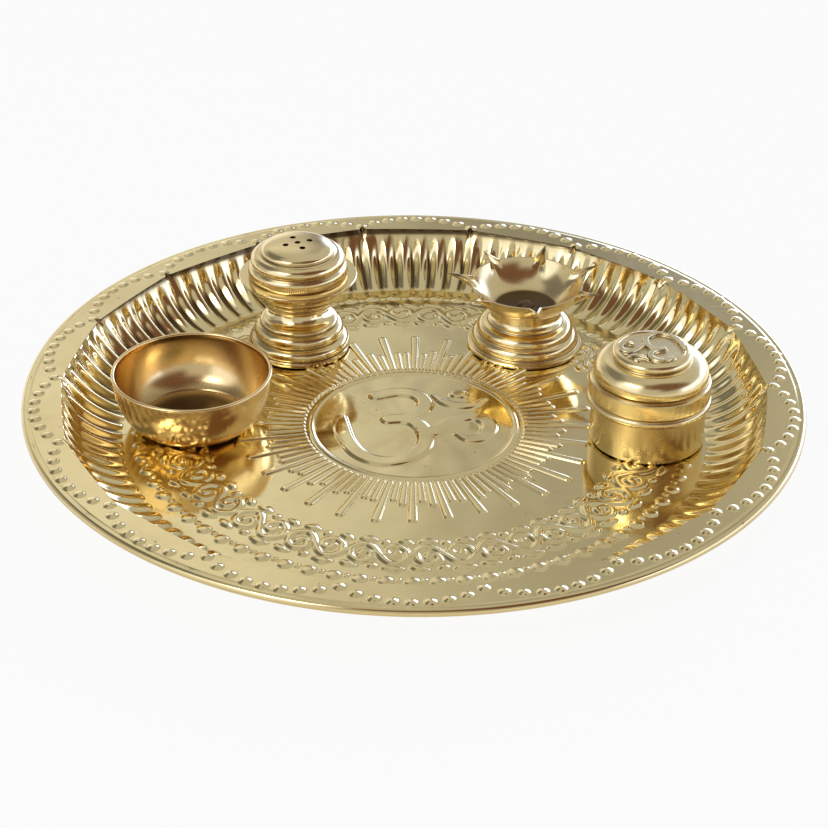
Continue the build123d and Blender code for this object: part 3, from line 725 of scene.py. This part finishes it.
def turned(name, outline, axis, low, grooves, stain_and_shade=0.0):
    """A turned piece: its outline, from the pole under it round to the pole on top, spun about
    an upright axis and stood at height low, darkened at its grooves and with extra shade on its
    points."""
    grid = polar(outline[None, :, 0], turn_angles(VESSEL_TURNS), low + outline[None, :, 1], axis)
    shade = np.maximum(darkening_near(outline, grooves), stain_and_shade)
    return spun_mesh(name, grid, False, np.broadcast_to(shade, grid.shape[:2]), crease=35.0)


lowest, highest = extent("katori_bowl")
katori_axis = (lowest + highest)[:2] / 2
katori_radius = (highest[0] - lowest[0]) / 2
katori_height = highest[2] - lowest[2]
lean = np.linspace(0, pi / 2, 40)[:, None]
swell = katori_radius - KATORI_LIP_OUT - KATORI_BASE
rise = katori_height - KATORI_LIP_UP
outside = np.hstack([KATORI_BASE + swell * np.sin(lean), rise * (1 - np.cos(lean))])
wall_radius = KATORI_BASE + (swell - KATORI_WALL) * np.sin(lean[:11:-1, 0])
inner_radius = np.concatenate([wall_radius, np.linspace(22.6, 20.6, 17), [17.0, 9.0, 0.0]])
way_out = np.clip((inner_radius - KATORI_BASE) / (swell - KATORI_WALL), 0, 1)
inner_height = KATORI_WALL + (rise - KATORI_WALL) * (1 - np.sqrt(1 - way_out**2))
scribed = np.exp(-(((inner_radius - KATORI_RING) / KATORI_RING_HALF_WIDTH) ** 2))
inside = np.stack([inner_radius, inner_height - KATORI_RING_DEPTH * scribed], 1)[2:]
rolled = np.linspace(-0.35 * pi, 1.2 * pi, 12)[:, None]
lip_radius = katori_radius - KATORI_LIP + KATORI_LIP * np.cos(rolled)
lip = np.hstack([lip_radius, katori_height - KATORI_LIP * (1 - np.sin(rolled))])
outline = np.concatenate([section((0, 0.5), (15.8, 0.5), (17.6, 0)), outside[:-3], lip, inside])
# Painted shade, brown, low on the katori's inner wall.
stain_and_shade = np.zeros(len(outline))
stain_and_shade[-len(inside) :] = KATORI_SHADE * (1 - soft_step(inside[:, 1], *KATORI_SHADE_HEIGHTS))
katori = turned("katori", outline, katori_axis, lowest[2], KATORI_SHADED_FLOOR, stain_and_shade)
katori_brass = brass(
    "katori_brass", KATORI_BRASS, polish=0.16, sway=0.006,
    axis=katori_axis, lathe=0.0008, rubbed=0.02,
)
katori.data.materials.append(katori_brass)
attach(katori, "katori")
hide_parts("katori_bowl")

# Incense holder's foot: turned from cast brass, hollow below, with a plain edge, two swelling
# bands between cut grooves, and a bell that draws in to the neck under the cup.

lowest, highest = extent("incense_foot")
incense_axis = (lowest + highest)[:2] / 2
incense_brass = brass(
    "incense_brass", VESSEL_BRASS, polish=0.13, sway=0.004,
    axis=incense_axis, lathe=0.002, rubbed=0.004,
)
outline = section(
    (0, 17.3),
    (9.2, 17.3),
    (13.6, 12.6),
    (17.0, 6.6),
    (20.0, 0.3),
    (20.6, 0),
    (21.2, 0),
    (21.4, 0.3),
    (21.4, 1.7),
    (21.1, 2.1),
    (20.7, 2.2),
    (20.8, 2.6),
    (19.2, 6.1, 0.75),
    (18.3, 6.5),
    (18.2, 6.9),
    (18.6, 7.4),
    (17.1, 11.4, 0.8),
    (16.2, 11.8),
    (16.1, 12.1),
    (15.6, 13.6, 0.35),
    (15.0, 14.0),
    (10.7, 17.6, -0.9),
    (10.4, 18.5),
    (0, 18.5),
)
grooves = [(20.7, 2.2), (18.2, 6.7), (16.1, 12.0), (10.4, 18.5)]
incense_stand = turned("incense_stand", outline, incense_axis, lowest[2], grooves)
incense_stand.data.materials.append(incense_brass)
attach(incense_stand, "incense_holder")
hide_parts("incense_foot")

# Incense holder's cup: a spun cup ringed with two lines, whose mouth is spread into a wide
# thin flange that catches the ash. A round-headed brass rivet holds it to the foot.

lowest, _ = extent("incense_cup")
outline = section(
    (0, 0),
    (10.2, 0),
    (10.4, 0.3),
    (15.6, 4.4, 1.2),
    (15.7, 4.8),
    (16.2, 5.0),
    (18.2, 7.6, 0.4),
    (18.2, 8.0),
    (18.7, 8.2),
    (20.0, 11.6, 0.4),
    (20.0, 13.4),
    (20.4, 13.8),
    (24.1, 13.8),
    (24.4, 14.1),
    (24.4, 14.7),
    (24.1, 15.0),
    (18.8, 15.0),
    (18.8, 11.65),
    (9.2, 1.2, 2.6),
    (0, 1.2),
)
grooves = [(10.3, 0.0), (15.7, 4.7), (18.2, 7.9), (20.0, 13.4)]
incense_bowl = turned("incense_bowl", outline, incense_axis, lowest[2], grooves)
incense_bowl.data.materials.append(incense_brass)
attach(incense_bowl, "incense_holder")
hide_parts("incense_cup")
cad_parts["incense_rivet"].material_slots[0].material = incense_brass

# Incense holder's cap: a turned cap that drops into the cup, with a milled upright band, a
# heavy round moulding and a flattened dome that is drilled with five holes for the sticks.

STICK_HOLE = 1.25
STICK_RING = 5.3
STICK_TURN = radians(25)
DRILL_SIDES = 32
DRILL_HEIGHTS = np.array([6.0, 18.0])
CAP_SPIGOT = 3.2
CAP_MILLING = 0.09
MILLED_FROM = (0.4, 1.0)
MILLED_TO = (4.0, 4.8)
MILLED_RADIUS = 20
CAP_DOME_RADIUS = 15.0
CAP_DOME_START = 10.9
CAP_DOME_TOP = 14.2
CAP_DOME_POWER = 2 / 2.5
lowest, _ = extent("incense_cap")
seat = lowest[2] + CAP_SPIGOT
lean = np.linspace(pi / 2, 0, 26)[:, None]
cap_dome = np.hstack(
    [
        CAP_DOME_RADIUS * np.sin(lean) ** CAP_DOME_POWER,
        CAP_DOME_START + (CAP_DOME_TOP - CAP_DOME_START) * np.cos(lean) ** CAP_DOME_POWER,
    ]
)
cap_side = section(
    (0, 13.1),
    (13.9, 9.7, -1.2),
    (17.55, 5.4),
    (17.55, -CAP_SPIGOT),
    (18.65, -CAP_SPIGOT),
    (18.65, 0),
    (20.0, 0),
    (20.3, 0.3),
    (20.4, 0.9),
    (20.2, 4.0, 0.15),
    (19.8, 4.7),
    (19.1, 5.1),
    (18.9, 5.5),
    (19.2, 5.9),
    (16.1, 10.0, 1.5),
    (15.5, 10.3),
    (15.3, 10.5),
    (15.5, 10.7),
    (15.2, 10.9),
)
outline = np.concatenate([cap_side, cap_dome])
angle = turn_angles(VESSEL_TURNS)
cap_radius, cap_height = outline[None].transpose(2, 0, 1)
band = soft_step(cap_height, *MILLED_FROM) * (1 - soft_step(cap_height, *MILLED_TO))
milled = CAP_MILLING * band * (cap_radius > MILLED_RADIUS) * np.cos(angle * VESSEL_TURNS / 2)
grid = polar(cap_radius + milled, angle, seat + cap_height, incense_axis)
grooves = [(20.0, 0.0), (18.9, 5.4), (15.3, 10.5)]
shade = np.broadcast_to(darkening_near(outline, grooves), grid.shape[:2])
incense_lid = spun_mesh("incense_lid", grid, False, shade, crease=35.0)

ring_turn = STICK_TURN + np.arange(4) * pi / 2
spot_x = incense_axis[0] + np.concatenate([[0], STICK_RING * np.cos(ring_turn)])[:, None, None]
spot_y = incense_axis[1] + np.concatenate([[0], STICK_RING * np.sin(ring_turn)])[:, None, None]
hole_turn = np.arange(DRILL_SIDES)[None, None] * (2 * pi / DRILL_SIDES)
drill_x = spot_x + STICK_HOLE * np.cos(hole_turn)
drill_y = spot_y + STICK_HOLE * np.sin(hole_turn)
drill_z = seat + DRILL_HEIGHTS[None, :, None]
drill_grid = np.stack(np.broadcast_arrays(drill_x, drill_y, drill_z), -1)
number = np.arange(drill_grid.size // 3).reshape(drill_grid.shape[:3])
low_ring, high_ring = number[:, 0], number[:, 1]
next_low, next_high = np.roll(low_ring, -1, 1), np.roll(high_ring, -1, 1)
drill_sides = np.stack([low_ring, next_low, next_high, high_ring], -1).reshape(-1, 4)
drill_mesh = bpy.data.meshes.new("drill")
drill_faces = drill_sides.tolist() + low_ring[:, ::-1].tolist() + high_ring.tolist()
drill_mesh.from_pydata((drill_grid.reshape(-1, 3) / METRE).tolist(), [], drill_faces)
drill = bpy.data.objects.new("drill", drill_mesh)
bpy.context.scene.collection.objects.link(drill)
cut = incense_lid.modifiers.new("stick_holes", "BOOLEAN")
cut.object = drill
cut.solver = "EXACT"
bpy.context.view_layer.update()
cut_lid = incense_lid.evaluated_get(bpy.context.evaluated_depsgraph_get())
drilled = bpy.data.meshes.new_from_object(cut_lid)
incense_lid.modifiers.clear()
incense_lid.data = drilled
bpy.data.objects.remove(drill)
incense_lid.data.materials.clear()
incense_lid.data.materials.append(incense_brass)
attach(incense_lid, "incense_cap")
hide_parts("incense_cap")

# Lamp's foot: turned brass, hollow below, with a thin spreading brim, a round band, a heavier
# band above it and a drum-like neck that carries the bowl.

lowest, highest = extent("diya_foot")
diya_axis = (lowest + highest)[:2] / 2
diya_brass = brass(
    "diya_brass", VESSEL_BRASS, polish=0.16, sway=0.004,
    axis=diya_axis, lathe=0.0015, rubbed=0.012,
)
outline = section(
    (0, 15.8),
    (12.0, 15.8),
    (14.2, 10.5),
    (18.0, 6.3),
    (22.4, 0.4),
    (23.4, 0),
    (24.2, 0),
    (24.4, 0.3),
    (24.4, 1.0),
    (24.1, 1.4),
    (23.4, 1.6),
    (22.2, 2.2, -0.25),
    (22.3, 2.6),
    (20.9, 6.2, 0.7),
    (20.2, 6.5),
    (20.0, 6.9),
    (20.2, 7.3),
    (17.0, 10.8, 0.95),
    (16.1, 11.0),
    (15.9, 11.3),
    (15.6, 11.7),
    (13.5, 14.8, -0.5),
    (13.3, 16.8),
    (0, 16.8),
)
grooves = [(22.2, 2.3), (20.0, 6.9), (15.9, 11.3)]
diya_stand = turned("diya_stand", outline, diya_axis, lowest[2], grooves)
diya_stand.data.materials.append(diya_brass)
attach(diya_stand, "diya")
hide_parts("diya_foot")

# Lamp's bowl: a thin spun bowl whose edge is pinched by hand at seven places into narrow beaks
# for the wicks, no two alike. A round-headed rivet holds it to the neck of the foot.

BOWL_TURNS = 720
BOWL_FLOOR = 13.3
BOWL_RIM = 23.6
BOWL_DEPTH = 11.5
BOWL_WALL = 0.8
SPOUT_RISE = 0.2
SPOUT_SPREAD = radians(7.0)
SPOUT_TAPER = radians(12.0)
SPOUT_INSET = radians(1.3)
SPOUT_HOLLOW = 1.45
SPOUT_FLARE = radians(13)
FLARE_REACH = 0.3
# The dark brown of the rivet and the darkening of the bowl's well are painted shade; the beak tips
# carry soot.
WELL_SHADE_BROWN = (0.13, 0.08, 0.04, 1)
WELL_SHADE = 0.95
WELL_EDGE = (12.0, 15.0)
TIP_SOOT = 0.75
OUTER_TIPS = (24.8, 30.0)
INNER_TIPS = (24.0, 29.0)
SPOUT_HEADINGS = np.radians([23, 73.5, 124, 173, 222, 276, 335])
SPOUT_REACHES = np.array([10.0, 9.0, 7.5, 10.0, 7.0, 7.0, 9.0])


def lamp_wall(share, angle, inset):
    """The bowl's wall: midway between a quarter ellipse and a cone, from the floor's edge, at
    share 0, to the rim, at 1. Near the rim each beak adds a hollow-sided peak that ends a few
    degrees from its heading."""
    aside = (angle[..., None] - SPOUT_HEADINGS + pi) % (2 * pi) - pi
    spread = SPOUT_SPREAD + SPOUT_TAPER * (1 - share)[..., None] - inset * SPOUT_INSET
    peak = np.clip(1 - np.abs(aside) / spread, 0, None) ** SPOUT_HOLLOW
    flare = np.exp(-((aside / SPOUT_FLARE) ** 2)).sum(-1)
    beak = (peak * (SPOUT_REACHES - inset)).sum(-1) * share**5
    lean = 0.5 * pi * share
    rim = BOWL_RIM - inset + FLARE_REACH * flare
    foot = BOWL_FLOOR - inset
    radius = foot + (rim - foot) * 0.5 * (np.sin(lean) + share) + beak
    rise = 0.5 * (1 - np.cos(lean) + share)
    height = inset * (1 - rise) + BOWL_DEPTH * rise + SPOUT_RISE * beak * share
    return radius, height


lowest, _ = extent("diya_bowl")
angle = turn_angles(BOWL_TURNS)
share = np.linspace(0, 1, 36)[None] ** 0.8
outer_radius, outer_height = lamp_wall(share, angle, 0.0)
inner_radius, inner_height = lamp_wall(share, angle, BOWL_WALL)
floor_radius = np.array([[0.0, 6.0, 11.0]])
outside = polar(outer_radius, angle, lowest[2] + outer_height, diya_axis)
inside = polar(inner_radius, angle, lowest[2] + inner_height, diya_axis)
bottom = polar(floor_radius, angle, lowest[2], diya_axis)
well = polar(floor_radius, angle, lowest[2] + BOWL_WALL, diya_axis)
grid = np.concatenate([bottom, outside, inside[:, ::-1], well[:, ::-1]], axis=1)
outer_soot = TIP_SOOT * soft_step(outer_radius, *OUTER_TIPS)
inner_soot_and_shade = TIP_SOOT * soft_step(inner_radius, *INNER_TIPS)
# Painted shade fills the bowl's well inside; the beak tips carry soot.
inner_soot_and_shade = np.maximum(inner_soot_and_shade, WELL_SHADE * (1 - soft_step(inner_radius, *WELL_EDGE)))
plain = np.zeros(bottom.shape[:2])
shade = np.concatenate([plain, outer_soot, inner_soot_and_shade[:, ::-1], plain + WELL_SHADE], axis=1)
diya_lamp = spun_mesh("diya_lamp", grid, False, shade, crease=50.0)
diya_lamp.data.materials.append(diya_brass)
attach(diya_lamp, "diya")
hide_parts("diya_bowl")
# The rivet head in the well is painted dark brown as shade, like the well around it.
shaded_rivet_brass = brass("shaded_rivet_brass", WELL_SHADE_BROWN, polish=0.28, sway=0.004)
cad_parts["diya_rivet"].material_slots[0].material = shaded_rivet_brass

# Kumkum box's cup: a straight spun cup with a half-round bead that stops the lid, and a plain
# neck above the bead that the lid slips over.

lowest, highest = extent("kumkum_base")
box_axis = (lowest + highest)[:2] / 2
box_brass = brass(
    "kumkum_brass", VESSEL_BRASS, polish=0.19, sway=0.006,
    axis=box_axis, lathe=0.0015, rubbed=0.012,
)
outline = section(
    (0, 0.4),
    (20.4, 0.4),
    (21.0, 0),
    (21.8, 0),
    (22.4, 0.6),
    (22.4, 1.0),
    (22.4, 15.9),
    (22.4, 16.2),
    (22.6, 16.5),
    (23.2, 19.8, 1.5),
    (22.4, 20.2),
    (22.4, 25.5),
    (22.2, 25.7),
    (21.4, 25.7),
    (21.2, 25.5),
    (21.2, 1.8),
    (20.6, 1.2),
    (0, 1.2),
)
grooves = [(22.4, 16.3), (23.0, 20.0)]
kumkum_cup = turned("kumkum_cup", outline, box_axis, lowest[2], grooves)
kumkum_cup.data.materials.append(box_brass)
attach(kumkum_cup, "kumkum_box")
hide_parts("kumkum_base")

# Kumkum box's lid: spun brass, a straight band, a stepped swelling dome, a groove and a flat
# button that is struck with the same emblem as the plate.

LID_DISC = 13.3
LID_DISC_SINK = 0.5
LID_RING = 12.5
LID_RING_HALF_WIDTH = 0.4
LID_RING_HEIGHT = 0.4
LID_EMBLEM_SCALE = 0.41
LID_EMBLEM_HEIGHT = 1.3
LID_EMBLEM_FOOT = 0.2
LID_EMBLEM_HEADING = radians(184)
LID_EMBLEM_SHADE = 3.9
lowest, highest = extent("kumkum_lid")
LID_TOP = highest[2] - lowest[2] - 0.3
outline = section(
    (0, LID_TOP - 1.4),
    (12.3, LID_TOP - 1.4),
    (14.3, 14.8),
    (20.8, 8.6, -1.9),
    (20.9, 7.0),
    (22.6, 5.7),
    (22.6, 0.3),
    (22.8, 0),
    (23.4, 0),
    (23.7, 0.4),
    (23.7, 5.4),
    (23.5, 6.4),
    (22.9, 6.95),
    (22.0, 7.05),
    (21.6, 7.4),
    (22.3, 7.9),
    (16.4, 15.5, 2.3),
    (15.7, 15.6),
    (15.4, 15.95),
    (15.6, 16.4),
    (14.1, LID_TOP - 0.2, 0.75),
    (13.7, LID_TOP),
    (LID_DISC, LID_TOP),
)
angle = turn_angles(VESSEL_TURNS)
disc = np.linspace(LID_DISC, 0, 48)[None, 1:]
disc_x = disc * np.cos(angle - LID_EMBLEM_HEADING) / LID_EMBLEM_SCALE
disc_y = disc * np.sin(angle - LID_EMBLEM_HEADING) / LID_EMBLEM_SCALE
raised = stroked(emblem_strokes, disc_x, disc_y, EMBLEM_BEVEL)
ring_line = LID_RING_HEIGHT * np.exp(-(((disc - LID_RING) / LID_RING_HALF_WIDTH) ** 2))
struck = np.maximum(LID_EMBLEM_HEIGHT * raised - LID_EMBLEM_FOOT, ring_line)
disc_height = LID_TOP - LID_DISC_SINK + struck
grid = np.concatenate(
    [
        polar(outline[None, :, 0], angle, lowest[2] + outline[None, :, 1], box_axis),
        polar(disc, angle, lowest[2] + disc_height, box_axis),
    ],
    axis=1,
)
grooves = [(21.8, 7.2), (21.6, 7.4), (21.8, 7.6), (15.4, 15.9)]
side_shade = np.broadcast_to(darkening_near(outline, grooves), (VESSEL_TURNS, len(outline)))
# Painted shade on the bevels of the emblem's strokes.
shade = np.concatenate([side_shade, LID_EMBLEM_SHADE * raised * (1 - raised)], axis=1)
kumkum_cover = spun_mesh("kumkum_cover", grid, False, shade, crease=35.0)
kumkum_cover.data.materials.append(box_brass)
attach(kumkum_cover, "kumkum_lid")
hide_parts("kumkum_lid")

# Studio: a wide pale floor in a soft pale surround, with a low bright window at the right and
# the back right, a dim one at the front left, and gloom high up at the front right and the left.
# A weak softbox stands at the front left.

FLOOR_HALF = 6.0
PAPER = (0.9, 0.9, 0.9, 1)
PAPER_GLOW = 0.92
WHITE = (1, 1, 1, 1)
DEGREES = 180 / pi
SURROUND = 0.57
RIGHT_WINDOW = (0.45, 0.58, 1, 1)
LEFT_WINDOW = (0.68, 0.76, 1, 1)
UNLIT = (0.17, 0.09, 0.06, 1)
floor_mesh = bpy.data.meshes.new("studio_floor")
corners = np.array([(-1, -1, 0), (1, -1, 0), (1, 1, 0), (-1, 1, 0)]) * FLOOR_HALF
floor_mesh.from_pydata(corners.tolist(), [], [(0, 1, 2, 3)])
studio_floor = bpy.data.objects.new("studio_floor", floor_mesh)
bpy.context.scene.collection.objects.link(studio_floor)
paper = bpy.data.materials.new("studio_paper")
paper.use_nodes = True
paper.node_tree.nodes.clear()
start = Wire(paper.node_tree)
path = start.node("LightPath", output="Is Camera Ray")
seen = path + path.beside("Is Glossy Ray") + path.beside("Is Transmission Ray")
matt = start.node("BsdfDiffuse", {"Color": PAPER})
glow = start.node("Emission", {"Color": WHITE, "Strength": 1.0})
shader = start.node("MixShader", {0: PAPER_GLOW * seen, 1: matt, 2: glow})
start.node("OutputMaterial", {"Surface": shader})
floor_mesh.materials.append(paper)

world = bpy.data.worlds.new("studio_surround")
world.use_nodes = True
world.node_tree.nodes.clear()
start = Wire(world.node_tree)
right = start.node("SeparateXYZ", {0: start.node("TexCoord", output="Generated")})
back, up = right.beside("Y"), right.beside("Z")
round_about = start.maths("ARCTAN2", right, 0 - back) * DEGREES
elevation = start.maths("ARCSINE", up) * DEGREES


def patch(left_end, right_end, low_end, high_end, soft):
    """1 inside this span of degrees round from the front, to the right, and of height angles,
    falling smoothly to 0 over soft degrees outside it."""
    from_left = round_about.ramp(left_end - soft, left_end)
    to_right = round_about.ramp(right_end + soft, right_end)
    upwards = elevation.ramp(low_end - soft, low_end) * elevation.ramp(high_end + soft, high_end)
    return from_left * to_right * upwards


behind = (0 - start.maths("ABSOLUTE", round_about)).ramp(-95, -125)
pale = SURROUND - behind * (0.02 + 0.22 * elevation.ramp(30.5, 24))
pale = pale + 0.3 * patch(-172, -142, 0, 33, 12) + 0.5 * patch(-172, -120, -6, 12, 8)
pale = pale - 0.12 * patch(171, 175, 22, 42, 5)
pale = pale * (1 - 0.65 * patch(-150, -80, 36, 58, 10))
right_level = 2.0 * patch(60, 170, -8, 17, 8) + 3.4 * patch(126, 168, -8, 19, 9)
left_level = 0.9 * patch(-68, -32, 10, 50, 12)
gloom = start.maths("MAXIMUM", patch(-16, 56, 48, 64, 16), patch(24, 76, 32, 70, 16))
lit = start.node("Background", {"Color": WHITE, "Strength": pale})
right_window = start.node("Background", {"Color": RIGHT_WINDOW, "Strength": right_level})
left_window = start.node("Background", {"Color": LEFT_WINDOW, "Strength": left_level})
unlit = start.node("Background", {"Color": UNLIT, "Strength": 1.0})
windows = start.node("AddShader", {0: right_window, 1: left_window})
surround = start.node("MixShader", {0: gloom, 1: lit, 2: unlit})
start.node("OutputWorld", {"Surface": start.node("AddShader", {0: surround, 1: windows})})
bpy.context.scene.world = world


def softbox(name, azimuth, elevation, distance, width, height, power):
    """An oblong lamp that looks at the plate from this heading and height angle, in degrees."""
    lamp = bpy.data.lights.new(name, "AREA")
    lamp.shape = "RECTANGLE"
    lamp.size = width
    lamp.size_y = height
    lamp.energy = power
    panel = bpy.data.objects.new(name, lamp)
    azimuth, elevation = radians(azimuth), radians(elevation)
    heading = Vector((cos(elevation) * cos(azimuth), cos(elevation) * sin(azimuth), sin(elevation)))
    panel.location = distance * heading
    panel.rotation_euler = heading.to_track_quat("Z", "Y").to_euler()
    bpy.context.scene.collection.objects.link(panel)


softbox("key_softbox", azimuth=228, elevation=46, distance=1.3, width=0.45, height=0.35, power=2.0)

# Camera: a long lens at the photograph's height angle and distance, rolled a touch clockwise.
# Its place is written in metres.

CAMERA_DISTANCE = 0.850
CAMERA_ELEVATION = radians(30.79)
CAMERA_ROLL = radians(0.694)
CAMERA_AIM = Vector((0.000024, 0.0, 0.0057))
FOCAL_PIXELS = 2145.3
FRAME_PIXELS = 828
lens = bpy.data.cameras.new("camera")
lens.sensor_width = 36.0
lens.lens = FOCAL_PIXELS / FRAME_PIXELS * lens.sensor_width
lens.clip_end = 50.0
camera = bpy.data.objects.new("camera", lens)
backwards = Vector((0, -cos(CAMERA_ELEVATION), sin(CAMERA_ELEVATION)))
level_right = Vector((1, 0, 0))
level_up = backwards.cross(level_right)
right_hand = cos(CAMERA_ROLL) * level_right + sin(CAMERA_ROLL) * level_up
upward = cos(CAMERA_ROLL) * level_up - sin(CAMERA_ROLL) * level_right
stand = CAMERA_AIM + CAMERA_DISTANCE * backwards
camera.matrix_world = Matrix(
    [[right_hand[n], upward[n], backwards[n], stand[n]] for n in range(3)] + [[0, 0, 0, 1]]
)
bpy.context.scene.collection.objects.link(camera)
bpy.context.scene.camera = camera
bpy.context.scene.view_settings.view_transform = "Standard"
